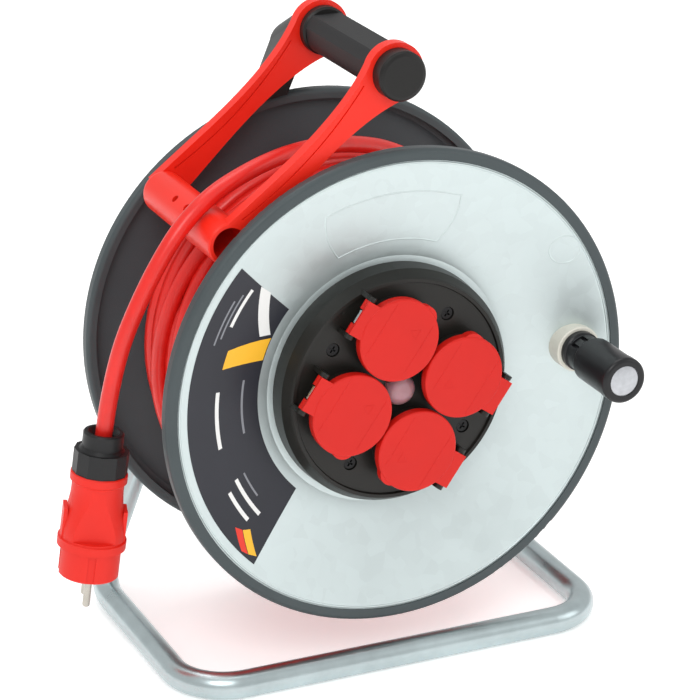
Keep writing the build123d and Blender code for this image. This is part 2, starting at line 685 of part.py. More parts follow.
with BuildPart() as contact_sleeves:
    for socket in range(4):
        with BuildSketch(lid_plane(socket, FLOOR + 2)):
            with Locations((0, PIN_SPACING / 2), (0, -PIN_SPACING / 2)):
                Circle(3.6)
        extrude(amount=-20)
        with BuildSketch(lid_plane(socket, FLOOR + 2)):
            with Locations((0, PIN_SPACING / 2), (0, -PIN_SPACING / 2)):
                Circle(PIN_R + 0.1)
        extrude(amount=-18.5, mode=Mode.SUBTRACT)
save(contact_sleeves.part, "contact_sleeves")

with BuildPart() as earth_clips:
    for socket in range(4):
        with BuildSketch(lid_plane(socket, COLLAR_FRONT + 3)):
            with Locations((PLUG_RECESS_R + 0.45, 0), (-PLUG_RECESS_R - 0.45, 0)):
                Rectangle(0.8, 5)
        extrude(amount=-(PLUG_RECESS_DEPTH - 2))
save(earth_clips.part, "earth_clips")

with BuildPart() as lid_pins:
    for socket in range(4):
        with BuildSketch(pin_plane(socket, -LUG_TO)):
            Circle(1.25)
        extrude(amount=2 * LUG_TO)
save(lid_pins.part, "lid_pins")

with BuildPart() as lid_springs:
    for socket in range(4):
        with BuildSketch(pin_plane(socket, -4.5)):
            Circle(2.5)
            Circle(1.25, mode=Mode.SUBTRACT)
        extrude(amount=9)
save(lid_springs.part, "lid_springs")

# ------------------------------------------------------------------ lids
LID_FRONT, LID_SKIRT, LID_T = -11.6, -5.5, 2.0
for socket in range(4):
    centre_x, centre_z = socket_centre(socket)
    lid_axis = Axis(place(centre_x, 0, centre_z), (0, 1, 0))
    with BuildPart() as lid:
        with BuildSketch(profile(centre_x, centre_z)):
            with BuildLine():
                Line((LID_FRONT, 0), (LID_FRONT, LID_R - 1.2))
                RadiusArc((LID_FRONT, LID_R - 1.2), (LID_FRONT + 1.2, LID_R), 1.2)
                Polyline((LID_FRONT + 1.2, LID_R), (LID_SKIRT, LID_R), (LID_SKIRT, 0), (LID_FRONT, 0))
            make_face()
        revolve(axis=lid_axis)
        with BuildSketch(lid_plane(socket, LID_FRONT + 0.6)):
            with Locations(polar(21, LOBES[socket])):
                Circle(8.6)
        extrude(amount=-(LID_SKIRT - LID_FRONT - 0.6))
        with BuildSketch(lid_plane(socket, LID_FRONT + 0.4)):
            with Locations((27, 0)):
                Rectangle(14.4, 2 * TAB_HALF)
        extrude(amount=-1.8)
        # the skirt's inside
        with BuildSketch(lid_plane(socket, LID_FRONT + LID_T)):
            Circle(25.7)
        extrude(amount=-10, mode=Mode.SUBTRACT)
        for knuckle in (5.3, -TAB_HALF):
            with BuildSketch(pin_plane(socket, knuckle)):
                Circle(3.2)
                with Locations((-0.3, -2)):
                    Rectangle(5.8, 4)
            extrude(amount=TAB_HALF - 5.3)
        with BuildSketch(pin_plane(socket, -TAB_HALF)):
            Circle(1.25 + RUN_FIT)
        extrude(amount=2 * TAB_HALF, mode=Mode.SUBTRACT)
    save(lid.part, f"lid_{socket + 1}")
    with BuildPart() as seal:
        with BuildSketch(lid_plane(socket, LID_FRONT + LID_T)):
            Circle(24.6)
            Circle(20.4, mode=Mode.SUBTRACT)
        extrude(amount=-0.7)
    save(seal.part, f"lid_seal_{socket + 1}")

# ------------------------------------------------------------------ overload cut-out and its button
with BuildPart() as reset_button:
    with BuildSketch(profile()):
        with BuildLine():
            Line((-2.5, 0), (-2.5, 4.2))
            ThreePointArc((-2.5, 4.2), (-0.9, 8.6), (2.2, BUTTON_R))
            Polyline((2.2, BUTTON_R), (PANEL_FACE + PANEL_T + 0.35, BUTTON_R), (PANEL_FACE + PANEL_T + 0.35, 12.6),
                     (8.3, 12.6), (8.3, 0), (-2.5, 0))
        make_face()
    revolve(axis=DRUM_AXIS)
save(reset_button.part, "reset_button")

with BuildPart() as thermal_cutout:
    with BuildSketch(face(12.2)):
        Rectangle(20, 20)
    extrude(amount=-26)
    with BuildSketch(face(10.2)):
        Circle(2.5)
    extrude(amount=-2)
    with BuildSketch(face(38.2)):
        with Locations((-6, 0), (0, 0), (6, 0)):
            Rectangle(0.9, 6.3)
    extrude(amount=-8)
save(thermal_cutout.part, "thermal_cutout")

# ------------------------------------------------------------------ crank
FLANGE_END, NECK_END, BODY_END, CRANK_GAP = -5.0, -19.5, -52.0, 0.35
CRANK_SEAT = -0.5
with BuildPart() as crank_base:
    with BuildSketch(profile(CRANK_X, CRANK_Z)):
        Polygon((CRANK_SEAT, 0), (CRANK_SEAT, 14.6), (CRANK_SEAT + 0.8, 15.4), (16, 15.4), (16, 0), align=None)
    revolve(axis=CRANK_AXIS)
    add(ring([(LIP, DRUM_R), (LIP, DISC_FLAT_R), (DISH_DEPTH, DISH_R), (40, DISH_R), (40, DRUM_R)]),
        mode=Mode.SUBTRACT)
    with BuildSketch(face(CRANK_SEAT, CRANK_X, CRANK_Z)):
        Circle(5)
    extrude(amount=-30, mode=Mode.SUBTRACT)
save(crank_base.part, "crank_base")

SPINDLE_HEAD = -44.4
with BuildPart() as crank_spindle:
    with BuildSketch(profile(CRANK_X, CRANK_Z)):
        Polygon((SPINDLE_HEAD - 3.4, 0), (SPINDLE_HEAD - 3.4, 6.5), (SPINDLE_HEAD, 6.5), (SPINDLE_HEAD, 5),
                (11.6, 5), (11.6, 6.8), (14.2, 6.8), (14.2, 0), align=None)
    revolve(axis=CRANK_AXIS)
save(crank_spindle.part, "crank_spindle")

with BuildPart() as crank_knob:
    with BuildSketch(profile(CRANK_X, CRANK_Z)):
        with BuildLine():
            Polyline((CRANK_SEAT - CRANK_GAP, 5 + RUN_FIT), (CRANK_SEAT - CRANK_GAP, 13.2), (FLANGE_END, 13.2),
                     (FLANGE_END - 0.8, 12.2), (NECK_END + 1, 12.2), (NECK_END, 14.4), (NECK_END - 1.2, 15),
                     (BODY_END, 15), (BODY_END, 8), (SPINDLE_HEAD + 0.4, 8),
                     (SPINDLE_HEAD + 0.4, 5 + RUN_FIT), close=True)
        make_face()
    revolve(axis=CRANK_AXIS)
    # window of the fold-down latch in the neck
    latch = polar(1, 120)
    latch_middle = place(CRANK_X + latch[0] * 9, -12.5, CRANK_Z + latch[1] * 9)
    with BuildSketch(Plane(origin=latch_middle, x_dir=(0, 1, 0), z_dir=(latch[0], 0, latch[1]))):
        Rectangle(10, 10)
    extrude(amount=10, mode=Mode.SUBTRACT)
    # latch block that sits in the window
    with BuildSketch(Plane(origin=latch_middle, x_dir=(0, 1, 0), z_dir=(latch[0], 0, latch[1]))):
        Rectangle(10, 5)
    extrude(amount=2.2)
save(crank_knob.part, "crank_knob")

with BuildPart() as crank_cap:
    with BuildSketch(profile(CRANK_X, CRANK_Z)):
        with BuildLine():
            Polyline((-60.2, 0), (-60.2, 10.2), (-61.4, 10.2), (-61.4, 12.8))
            RadiusArc((-61.4, 12.8), (-58.6, 15.4), 2.8)
            Polyline((-58.6, 15.4), (BODY_END - 0.9, 15.4), (BODY_END - 0.4, 15), (BODY_END, 15), (BODY_END, 8),
                     (BODY_END + 2, 8), (BODY_END + 2, 0), (-60.2, 0))
        make_face()
    revolve(axis=CRANK_AXIS)
save(crank_cap.part, "crank_cap")

with BuildPart() as crank_badge:
    with BuildSketch(profile(CRANK_X, CRANK_Z)):
        with BuildLine():
            Line((-60.2, 0), (-CRANK_REACH, 0))
            ThreePointArc((-CRANK_REACH, 0), (-61.5, 6), (-60.8, 10.2))
            Polyline((-60.8, 10.2), (-60.2, 10.2), (-60.2, 0))
        make_face()
    revolve(axis=CRANK_AXIS)
save(crank_badge.part, "crank_badge")

# ------------------------------------------------------------------ wound cable, one closed solid
WOUND_R = 122.0
CLEAR = SHEET_ALONG + 0.8


def beside_cone(radius):
    return (cone_front(radius) + CLEAR, radius)


wound = [(DISH_DEPTH + 3.3, CORE_R), (DISH_DEPTH + 3.3, 82.4), beside_cone(86), beside_cone(111),
         (beside_cone(111)[0] + 2.2, 115.6), (beside_cone(111)[0] + 7, WOUND_R)]
save(ring(wound + mirror_points(wound)[::-1]), "cord_winding")

# ------------------------------------------------------------------ cable's free end, down to the plug
TAIL = [
    (87.6, 123.9, 99.7),
    (63.4, 114.8, 114.5),
    (37.8, 105.3, 126.7),
    (11.3, 95.3, 135.6),
    (-15.0, 84.1, 141.3),
    (-40.5, 72.1, 144.3),
    (-65.2, 60.1, 144.0),
    (-89.4, 49.5, 140.3),
    (-112.6, 41.8, 132.8),
    (-133.1, 37.2, 118.0),
    (-149.3, 35.6, 96.5),
    (-162.6, 36.7, 71.6),
    (-173.4, 39.5, 44.9),
    (-179.9, 42.1, 17.4),
    (-184.3, 44.3, -9.0),
    (-187.8, 44.5, -35.0),
]
tail_points = [place(*point) for point in TAIL]
radii = []
for before, corner, after in zip(tail_points, tail_points[1:], tail_points[2:]):
    run_in, run_out = corner - before, after - corner
    turn = run_in.get_angle(run_out)
    radii.append(0.45 * min(run_in.length, run_out.length) / tan(radians(turn / 2)))
print("cable radii (mm):", [round(radius) for radius in radii])
with BuildLine() as tail_line:
    FilletPolyline(*tail_points, radius=radii)
with BuildPart() as cord_tail:
    with BuildSketch(Plane(origin=tail_line.line @ 0, z_dir=tail_line.line % 0)):
        Circle(CABLE_D / 2)
    sweep(path=tail_line.line)
tail_length = sum(edge.length for edge in tail_line.edges())
tail_share = cord_tail.part.volume / (pi * (CABLE_D / 2) ** 2 * tail_length)
print("cable's free end (mm):", round(tail_length), "volume over section times length:", round(tail_share, 4))
save(cord_tail.part, "cord_tail")

# ------------------------------------------------------------------ plug, hanging on the cable
PLUG_DOWN = (tail_points[-1] - tail_points[-2]).normalized()
PLUG_TOP = tail_points[-2] + PLUG_DOWN * 5
PIN_LINE = Vector(-0.29, -0.956, 0).cross(PLUG_DOWN).cross(PLUG_DOWN).normalized()
PLUG_AXIS = Axis(PLUG_TOP, PLUG_DOWN)
NUT_END, BODY_FACE = 27.0, 97.0
PIN_LENGTH = 19.0
PLUG_END_R = 19.3


def plug_section():
    """Half section of the plug: local x runs down from the nut's mouth, local y is the radius."""
    return Plane(origin=PLUG_TOP, x_dir=PLUG_DOWN, z_dir=PIN_LINE)


def plug_across(down):
    """Across the plug, with local x along the line of its pins. It extrudes towards the pins."""
    return Plane(origin=PLUG_TOP + PLUG_DOWN * down, x_dir=PIN_LINE, z_dir=PLUG_DOWN)


with BuildPart() as plug_gland_nut:
    with BuildSketch(plug_section()):
        with BuildLine():
            Line((0, 10), (0, 12.2))
            ThreePointArc((0, 12.2), (0.3, 12.8), (1, 13))
            Polyline((1, 13), (10, 13), (11.2, 14), (11.2, 12.2), (NUT_END, 12.2), (NUT_END, 14), (11.2, 14))
            Polyline((0, 10), (3.5, 7.4), (8, 5.8), (11.2, 5.7), (11.2, 14))
        Polygon((0, 10), (0, 12.2), (1, 13), (10, 13), (12.4, 15), (12.4, 5.7), (8, 5.8), (3.5, 7.4), align=None)
        Polygon((12.4, 12.2), (12.4, 15), (NUT_END, 15), (NUT_END, 12.2), align=None)
    revolve(axis=PLUG_AXIS)
    with BuildSketch(plug_across(12)):
        RegularPolygon(17.6, 12)
        Circle(14, mode=Mode.SUBTRACT)
    extrude(amount=NUT_END - 12)
save(plug_gland_nut.part, "plug_gland_nut")

with BuildPart() as plug_clamp:
    with BuildSketch(plug_section()):
        Polygon((12.6, 5.7), (12.6, 8), (14, 8.8), (25, 8.8), (25, 5.7), align=None)
    revolve(axis=PLUG_AXIS)
    with BuildSketch(plug_across(12)):
        with PolarLocations(7, 6):
            Rectangle(6, 1)
    extrude(amount=8, mode=Mode.SUBTRACT)
save(plug_clamp.part, "plug_clamp")

with BuildPart() as plug_body:
    with BuildSketch(plug_section()):
        with BuildLine():
            Polyline((14, 9), (14, 12), (NUT_END, 12), (NUT_END, 17.6), (27.6, 18.2), (32.4, 18.2), (33.6, 16.8))
            Spline((33.6, 16.8), (39, 16.6), (46, 17.2), (54, 18.6), (62, 20.2), (67, 20.8), (71, 20.8))
            Polyline((71, 20.8), (71.6, 22), (77, 22), (77.6, PLUG_END_R), (96.2, PLUG_END_R), (BODY_FACE, 18.5),
                     (BODY_FACE, 17.3), (88, 17.3), (88, 16), (36, 12), (36, 9), (14, 9))
        make_face()
    revolve(axis=PLUG_AXIS)
    # flats in front of and behind the pins, and the grooves for the earth strips and a socket's ribs
    for side in (1, -1):
        with BuildSketch(Plane(origin=PLUG_TOP + PLUG_DOWN * 53 + PIN_LINE * side * 16, x_dir=PLUG_DOWN,
                               z_dir=PIN_LINE * side)):
            Rectangle(34, 60)
        extrude(amount=8, mode=Mode.SUBTRACT)
    # steps of the side grips
    with BuildSketch(plug_across(51)):
        with Locations((0, 18.9), (0, -18.9)):
            Rectangle(15, 2.6)
    extrude(amount=20)
    with BuildSketch(plug_across(78.5)):
        with Locations((0, PLUG_END_R), (0, -PLUG_END_R)):
            Rectangle(6, 3.4)
        with Locations((PLUG_END_R, 0), (-PLUG_END_R, 0)):
            Rectangle(2.4, 5)
    extrude(amount=20, mode=Mode.SUBTRACT)
save(plug_body.part, "plug_body")

with BuildPart() as plug_insert:
    with BuildSketch(plug_across(88)):
        Circle(17.3)
        with Locations((0, PLUG_END_R), (0, -PLUG_END_R)):
            Rectangle(6, 4.4, mode=Mode.SUBTRACT)
        with Locations((PIN_SPACING / 2, 0), (-PIN_SPACING / 2, 0)):
            Circle(PIN_R - 0.4, mode=Mode.SUBTRACT)
    extrude(amount=BODY_FACE - 88)
save(plug_insert.part, "plug_insert")

with BuildPart() as plug_pins:
    with BuildSketch(plug_across(84)):
        with Locations((PIN_SPACING / 2, 0), (-PIN_SPACING / 2, 0)):
            Circle(PIN_R - 0.4)
    extrude(amount=BODY_FACE - 84)
    with BuildSketch(plug_across(BODY_FACE)):
        with Locations((PIN_SPACING / 2, 0), (-PIN_SPACING / 2, 0)):
            Circle(PIN_R)
    extrude(amount=PIN_LENGTH)
    tips = plug_pins.faces().filter_by(lambda end: abs(end.center().Z - plug_pins.part.bounding_box().min.Z) < 4)
    fillet(tips.filter_by(GeomType.PLANE).edges(), 1.6)
save(plug_pins.part, "plug_pins")

with BuildPart() as plug_earth_clips:
    with BuildSketch(plug_across(79.5)):
        with Locations((0, PLUG_END_R - 1.3), (0, -PLUG_END_R + 1.3)):
            Rectangle(5, 0.8)
    extrude(amount=BODY_FACE - 79.5)
save(plug_earth_clips.part, "plug_earth_clips")
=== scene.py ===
"""Extension cord reel: materials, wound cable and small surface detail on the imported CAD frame.

Laid out as an add-on. Each operator makes one piece or one group of like pieces.
"""

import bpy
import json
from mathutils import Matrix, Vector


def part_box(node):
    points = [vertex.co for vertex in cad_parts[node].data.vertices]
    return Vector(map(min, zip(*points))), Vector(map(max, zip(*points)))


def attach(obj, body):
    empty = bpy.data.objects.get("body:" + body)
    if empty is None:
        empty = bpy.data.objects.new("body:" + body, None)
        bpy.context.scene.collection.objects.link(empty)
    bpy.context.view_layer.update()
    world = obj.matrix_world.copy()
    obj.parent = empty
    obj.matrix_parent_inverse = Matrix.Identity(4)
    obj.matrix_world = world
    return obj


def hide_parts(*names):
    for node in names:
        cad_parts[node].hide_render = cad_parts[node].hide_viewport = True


bl_info = {
    "name": "Extension cord reel",
    "version": (1, 0, 0),
    "blender": (4, 5, 0),
    "location": "View3D > Sidebar > Cord reel",
    "description": "Wound cable, label, pressed marks, finishes and studio for a steel cord reel",
    "category": "Object",
}

import bmesh
import bpy
import json
from bpy.props import FloatProperty, FloatVectorProperty, IntProperty, PointerProperty
from math import atan2, cos, degrees, hypot, pi, radians, sin, tau
from mathutils import Matrix, Vector

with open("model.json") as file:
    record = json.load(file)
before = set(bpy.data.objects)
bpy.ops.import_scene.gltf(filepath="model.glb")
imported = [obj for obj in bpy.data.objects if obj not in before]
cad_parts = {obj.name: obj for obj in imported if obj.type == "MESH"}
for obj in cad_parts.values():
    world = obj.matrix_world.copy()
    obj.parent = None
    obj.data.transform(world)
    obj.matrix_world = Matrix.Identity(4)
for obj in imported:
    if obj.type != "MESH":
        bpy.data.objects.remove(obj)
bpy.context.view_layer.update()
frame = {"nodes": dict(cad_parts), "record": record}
MM = 0.001

# ------------------------------------------------------------------ places taken from the frame
RIM_LOW, RIM_HIGH = (Vector(corner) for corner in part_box("front_rim"))
AXLE = Vector(((RIM_LOW.x + RIM_HIGH.x) / 2, RIM_LOW.y, (RIM_LOW.z + RIM_HIGH.z) / 2))
SOCKET_RING, PANEL_TURN = 39.6 * MM, radians(10)
LID_FRONT = min(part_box(f"lid_{number}")[0][1] for number in (1, 2, 3, 4))
HINGE_TURNS = (radians(325), radians(145), radians(145), radians(325))
DISC_FLAT_R, DISH_R, LIP, DISH_DEPTH = 149.5 * MM, 84 * MM, 1.3 * MM, 21 * MM
SLOPE = (DISH_DEPTH - LIP) / (DISC_FLAT_R - DISH_R)


def place(across, behind, up):
    """A point from millimetres across, behind the front rim's face and above the axle."""
    return Vector((AXLE.x + across * MM, AXLE.y + behind * MM, AXLE.z + up * MM))


def on_disc(radius, turn, lift=0.0):
    """A point on the front disc's outer surface, at a turn from the right-hand side, lifted off it."""
    behind = LIP + max(0.0, DISC_FLAT_R - radius) * SLOPE
    tilt = SLOPE if radius < DISC_FLAT_R else 0.0
    along = lift / hypot(1, tilt)
    radius_off = radius - along * tilt
    return Vector((AXLE.x + radius_off * cos(turn), AXLE.y + behind - along, AXLE.z + radius_off * sin(turn)))


# ------------------------------------------------------------------ what a user would change
def linear(hex_colour):
    """Scene-linear colour of an sRGB hex value."""
    channels = [int(hex_colour[start:start + 2], 16) / 255 for start in (1, 3, 5)]
    return tuple(c / 12.92 if c <= 0.04045 else ((c + 0.055) / 1.055) ** 2.4 for c in channels)


def colour(name, words, hex_colour):
    return FloatVectorProperty(name=name, description=words, subtype="COLOR", size=3, min=0, max=1,
                               default=linear(hex_colour))


class ReelSizes(bpy.types.PropertyGroup):
    """Sizes of the pieces added to the frame."""

    cable: FloatProperty(name="Cable", description="Outside diameter of the cable", default=0.011,
                         unit="LENGTH")
    turn_points: IntProperty(name="Points per turn", description="Control points in each turn", default=16,
                             min=12)
    bead: FloatProperty(name="Bead", description="Radius of the pressed beads in the disc", default=0.0009,
                        unit="LENGTH")
    label_lift: FloatProperty(name="Label lift", description="Thickness of the printed label",
                              default=0.00018, unit="LENGTH")


class ReelColours(bpy.types.PropertyGroup):
    """Main colours of the finishes."""

    zinc: colour("Zinc", "Galvanised sheet of the front disc", "#CAD5D5")
    tube: colour("Tube", "Zinc-plated stand tube", "#B9C6C8")
    coated: colour("Coated sheet", "Coated rear disc", "#3B4043")
    rim: colour("Rims", "Plastic rims", "#434B4D")
    black: colour("Black", "Black moulded plastic", "#191817")
    panel: colour("Panel", "Socket panel", "#1E1D1A")
    cable: colour("Cable", "Cable jacket", "#E0231B")
    guide: colour("Guide", "Cable guide", "#EE2A1A")
    lids: colour("Lids", "Socket lids", "#CC1A10")
    plug: colour("Plug", "Plug body", "#E0261A")
    label: colour("Label", "Printed label", "#2B2C33")


# ------------------------------------------------------------------ materials
def add_node(tree, kind, settings=(), links=()):
    """Adds a node, sets its attributes and input values, and links (input, socket) pairs to it."""
    node = tree.nodes.new(kind)
    for key, value in dict(settings).items():
        if isinstance(key, str) and hasattr(node, key):
            setattr(node, key, value)
        else:
            node.inputs[key].default_value = value
    for key, socket in dict(links).items():
        tree.links.new(socket, node.inputs[key])
    return node


def start_material(name):
    """An empty material with its output and Object coordinates ready."""
    finish = bpy.data.materials.get(name) or bpy.data.materials.new(name)
    finish.use_nodes = True
    tree = finish.node_tree
    tree.nodes.clear()
    coords = add_node(tree, "ShaderNodeTexCoord")
    output = add_node(tree, "ShaderNodeOutputMaterial")
    return finish, tree, coords.outputs["Object"], output


def ramp_between(tree, factor, low, high, spread=(0.35, 0.65)):
    """Colours from low to high over a stretch of a factor."""
    ramp = add_node(tree, "ShaderNodeValToRGB", links={0: factor})
    ramp.color_ramp.elements[0].position, ramp.color_ramp.elements[1].position = spread
    ramp.color_ramp.elements[0].color = (*low, 1)
    ramp.color_ramp.elements[1].color = (*high, 1)
    return ramp.outputs[0]


def toned(base, share):
    """A colour made lighter or darker by a share."""
    return tuple(min(1.0, channel * (1 + share)) for channel in base)


def moulded(name, base, roughness=0.42, grain=0.5, depth=0.04, tone=0.06, coat=0.0, subsurface=0.0, ior=1.5):
    """Injection-moulded plastic: an even colour with faint flow tones and a fine grain, in mm."""
    finish, tree, where, output = start_material(name)
    flow = add_node(tree, "ShaderNodeTexNoise", {"Scale": 1 / (38 * MM), "Detail": 3.0, "Roughness": 0.5},
                    {"Vector": where})
    grit = add_node(tree, "ShaderNodeTexNoise", {"Scale": 1 / (grain * MM), "Detail": 2.0, "Roughness": 0.6},
                    {"Vector": where})
    rough = add_node(tree, "ShaderNodeMapRange", {"To Min": roughness - 0.05, "To Max": roughness + 0.06},
                     {"Value": flow.outputs[0]})
    bump = add_node(tree, "ShaderNodeBump", {"Strength": depth * 4, "Distance": grain * MM * 0.3},
                    {"Height": grit.outputs[0]})
    base_colour = ramp_between(tree, flow.outputs[0], toned(base, -tone), toned(base, tone))
    shader = add_node(tree, "ShaderNodeBsdfPrincipled",
                      {"IOR": ior, "Specular IOR Level": 0.3, "Coat Weight": coat, "Coat Roughness": 0.2,
                       "Subsurface Weight": subsurface},
                      {"Base Color": base_colour, "Roughness": rough.outputs[0], "Normal": bump.outputs[0]})
    tree.links.new(shader.outputs[0], output.inputs[0])
    return finish


def galvanised(name, base, spangle=9.0):
    """Hot-dip galvanised sheet: soft zinc spangles a few millimetres wide, satin, with faint roll lines."""
    finish, tree, where, output = start_material(name)
    warp = add_node(tree, "ShaderNodeTexNoise", {"Scale": 1 / (6 * MM), "Detail": 2.0}, {"Vector": where})
    shift = add_node(tree, "ShaderNodeVectorMath", {"operation": "MULTIPLY_ADD", 1: (0.0025, 0.0025, 0.0025)},
                     {0: warp.outputs[1], 2: where})
    cells = add_node(tree, "ShaderNodeTexVoronoi", {"Scale": 1 / (spangle * MM)},
                     {"Vector": shift.outputs[0]})
    tint = add_node(tree, "ShaderNodeSeparateColor", links={0: cells.outputs["Color"]})
    cloud = add_node(tree, "ShaderNodeTexNoise", {"Scale": 1 / (60 * MM), "Detail": 4.0}, {"Vector": where})
    both = add_node(tree, "ShaderNodeMath", {"operation": "MULTIPLY_ADD", 1: 0.35},
                    {0: tint.outputs[0], 2: cloud.outputs[0]})
    rough = add_node(tree, "ShaderNodeMapRange", {"From Max": 1.2, "To Min": 0.36, "To Max": 0.52},
                     {"Value": both.outputs[0]})
    grit = add_node(tree, "ShaderNodeTexNoise", {"Scale": 1 / (0.8 * MM), "Detail": 2.0}, {"Vector": where})
    bump = add_node(tree, "ShaderNodeBump", {"Strength": 0.06, "Distance": 0.0002},
                    {"Height": grit.outputs[0]})
    base_colour = ramp_between(tree, both.outputs[0], toned(base, -0.05), toned(base, 0.05), (0.3, 0.95))
    shader = add_node(tree, "ShaderNodeBsdfPrincipled", {"Metallic": 0.75},
                      {"Base Color": base_colour, "Roughness": rough.outputs[0], "Normal": bump.outputs[0]})
    tree.links.new(shader.outputs[0], output.inputs[0])
    return finish


def plated(name, base, roughness=0.28, streak=18.0, metallic=1.0, patch=0.08):
    """Plated or bare metal: bright, with cloudy patches and light drawing marks a few hundredths deep."""
    finish, tree, where, output = start_material(name)
    cloud = add_node(tree, "ShaderNodeTexNoise",
                     {"Scale": 1 / (streak * MM), "Detail": 5.0, "Roughness": 0.62}, {"Vector": where})
    fine = add_node(tree, "ShaderNodeTexNoise", {"Scale": 1 / (0.7 * MM), "Detail": 2.0}, {"Vector": where})
    rough = add_node(tree, "ShaderNodeMapRange",
                     {"To Min": max(0.05, roughness - 0.1), "To Max": roughness + 0.12},
                     {"Value": cloud.outputs[0]})
    bump = add_node(tree, "ShaderNodeBump", {"Strength": 0.07, "Distance": 0.00015},
                    {"Height": fine.outputs[0]})
    base_colour = ramp_between(tree, cloud.outputs[0], toned(base, -patch), toned(base, patch))
    shader = add_node(tree, "ShaderNodeBsdfPrincipled", {"Metallic": metallic},
                      {"Base Color": base_colour, "Roughness": rough.outputs[0], "Normal": bump.outputs[0]})
    tree.links.new(shader.outputs[0], output.inputs[0])
    return finish


def jacket(name, base):
    """Polyurethane cable jacket: saturated, slightly waxy, smooth along the cable with a faint ripple."""
    finish, tree, where, output = start_material(name)
    ripple = add_node(tree, "ShaderNodeTexNoise", {"Scale": 1 / (4 * MM), "Detail": 2.0}, {"Vector": where})
    scuff = add_node(tree, "ShaderNodeTexNoise", {"Scale": 1 / (25 * MM), "Detail": 6.0, "Roughness": 0.7},
                     {"Vector": where})
    rough = add_node(tree, "ShaderNodeMapRange", {"To Min": 0.24, "To Max": 0.42},
                     {"Value": scuff.outputs[0]})
    bump = add_node(tree, "ShaderNodeBump", {"Strength": 0.08, "Distance": 0.0004},
                    {"Height": ripple.outputs[0]})
    base_colour = ramp_between(tree, scuff.outputs[0], toned(base, -0.07), toned(base, 0.05))
    shader = add_node(tree, "ShaderNodeBsdfPrincipled",
                      {"IOR": 1.5, "Subsurface Weight": 0.06, "Subsurface Scale": 0.002},
                      {"Base Color": base_colour, "Roughness": rough.outputs[0], "Normal": bump.outputs[0]})
    tree.links.new(shader.outputs[0], output.inputs[0])
    return finish


def clear_plastic(name, base):
    """Tinted translucent button over a lamp: smooth, with the light scattering just under the skin."""
    finish, tree, where, output = start_material(name)
    milk = add_node(tree, "ShaderNodeTexNoise", {"Scale": 1 / (8 * MM), "Detail": 2.0}, {"Vector": where})
    base_colour = ramp_between(tree, milk.outputs[0], toned(base, -0.08), toned(base, 0.08))
    rough = add_node(tree, "ShaderNodeMapRange", {"To Min": 0.12, "To Max": 0.22}, {"Value": milk.outputs[0]})
    shader = add_node(tree, "ShaderNodeBsdfPrincipled",
                      {"IOR": 1.49, "Transmission Weight": 0.35, "Subsurface Weight": 0.4,
                       "Subsurface Scale": 0.004},
                      {"Base Color": base_colour, "Roughness": rough.outputs[0]})
    tree.links.new(shader.outputs[0], output.inputs[0])
    return finish


def finishes():
    """One material for each slot of the frame's record, named for the real material."""
    tones = bpy.context.scene.reel_colours
    red_cable = jacket("Polyurethane jacket, red", tones.cable)
    return {
        # cold-drawn tube and pressed bar, electroplated with zinc
        "zinc_plated_steel": plated("Zinc-plated steel", tones.tube, 0.3, 30),
        "zinc_plated_screws": plated("Zinc-plated screw steel", linear("#C0C4C4"), 0.3, 5),
        # blackened screws keep a little of the steel's glint
        "black_screws": plated("Black-oxide screw steel", linear("#1C1C1D"), 0.35, 4, 0.6),
        "steel_rod": plated("Bright drawn steel", linear("#B9BCBE"), 0.24, 12),
        "black_plastic": moulded("Polyamide, black", tones.black, 0.4, 0.6),
        # the grip's softer skin is duller and coarser
        "black_grip": moulded("Soft-touch TPE, black", linear("#232324"), 0.58, 0.7, 0.07),
        "red_plastic": moulded("Polyamide, signal red", tones.guide, 0.34, 0.5, 0.03, 0.03, subsurface=0.04),
        "galvanised_sheet": galvanised("Hot-dip galvanised sheet", tones.zinc),
        "dark_coated_sheet": moulded("Powder-coated sheet, anthracite", tones.coated, 0.4, 0.9, 0.08),
        "grey_rim": moulded("Polyethylene rim, grey", tones.rim, 0.42, 0.6, 0.04, 0.05),
        "grey_core": moulded("Polypropylene core, grey", linear("#4A4D50"), 0.5, 0.7),
        "bush_plastic": moulded("Acetal bush, natural", linear("#E4E0D2"), 0.4, 0.4),
        "rubber_gland": moulded("EPDM rubber, black", linear("#1A1A1A"), 0.7, 0.6, 0.06),
        "black_panel": moulded("ABS panel, black", tones.panel, 0.38, 0.5),
        "black_insert": moulded("Polycarbonate insert, black", linear("#202021"), 0.35, 0.4),
        "brass_contacts": plated("Contact brass", linear("#D2AC62"), 0.22, 6),
        "spring_bronze": plated("Spring bronze", linear("#B98A55"), 0.25, 6),
        "red_lid": moulded("Polypropylene lid, red", tones.lids, 0.46, 0.45, 0.05, 0.03, subsurface=0.03),
        "seal_rubber": moulded("Silicone seal, black", linear("#242424"), 0.6, 0.5),
        "clear_button": clear_plastic("Translucent polycarbonate, rose", linear("#C99AA2")),
        "cutout_body": moulded("Phenolic moulding, black", linear("#1B1A1A"), 0.45, 0.8),
        "cream_plastic": moulded("Polyamide, cream", linear("#D9D7CB"), 0.45, 0.5),
        "black_knob": moulded("Polypropylene, gloss black", linear("#1D1D1F"), 0.3, 0.5, 0.03),
        "silver_badge": plated("Spun aluminium badge", linear("#B4B6BA"), 0.32, 4),
        "red_cable": red_cable,
        "plug_rubber": moulded("Rubberised TPE plug, red", tones.plug, 0.45, 0.5, 0.05, 0.03,
                               subsurface=0.04),
        "plug_nut": moulded("Polyamide gland nut, black", linear("#1F1F20"), 0.38, 0.5),
        "plug_face": moulded("Polycarbonate plug face, red", linear("#C9271D"), 0.4, 0.4),
        "nickel_pins": plated("Nickel-plated brass", linear("#B5B1A8"), 0.22, 6),
    }


